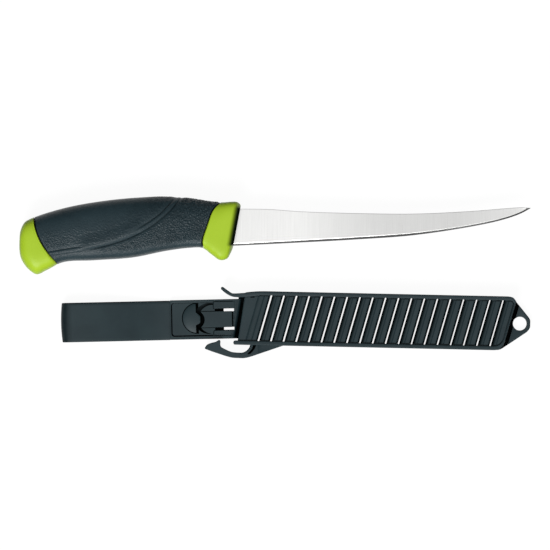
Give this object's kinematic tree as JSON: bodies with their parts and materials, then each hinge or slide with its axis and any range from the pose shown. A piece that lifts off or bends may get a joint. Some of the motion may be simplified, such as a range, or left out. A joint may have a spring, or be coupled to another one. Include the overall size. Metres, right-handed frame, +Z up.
{
  "type": "fillet knife",
  "caption": "Slim fillet knife with a rubber grip over a hard core, lying beside its slatted plastic sheath with snap hook, latch and belt clip.",
  "frame": {"origin": "on the resting surface, under the middle of the pair's box", "axes": "+X from the pommel to the blade's tip, +Y from the cutting edge to the spine, +Z up off the surface"},
  "size_m": [0.2698, 0.0852, 0.0232],
  "materials": {
    "steel": "satin ground stainless",
    "hard_plastic": "lime-green moulding, semi-gloss",
    "grip_rubber": "blue-black rubber with a pebbled grain",
    "sheath_plastic": "dark grey-green moulding, fine satin"
  },
  "bodies": {
    "sheath": {"sheath_body": "sheath_plastic", "belt_clip": "sheath_plastic"},
    "hook": {"snap_hook": "sheath_plastic"},
    "tongue": {"latch_tongue": "sheath_plastic"},
    "knife": {"blade": "steel", "handle_core": "hard_plastic", "grip": "grip_rubber"}
  },
  "joints": [
    {"name": "knife_lift", "type": "slide", "parent": "sheath", "child": "knife", "axis": [0, 0, 1], "range_m": [0, 0.06]},
    {"name": "hook_flex", "type": "hinge", "parent": "sheath", "child": "hook", "pos_m": [-0.01761, -0.04256, 0.0054], "axis": [0, 0, 1], "range_deg": [0, 9], "stiffness_Nm_per_rad": 0.6},
    {"name": "tongue_flex", "type": "hinge", "parent": "sheath", "child": "tongue", "pos_m": [-0.02256, -0.02188, 0.00295], "axis": [-0.022, 0.9998, 0], "range_deg": [0, 10], "stiffness_Nm_per_rad": 0.25}
  ]
}
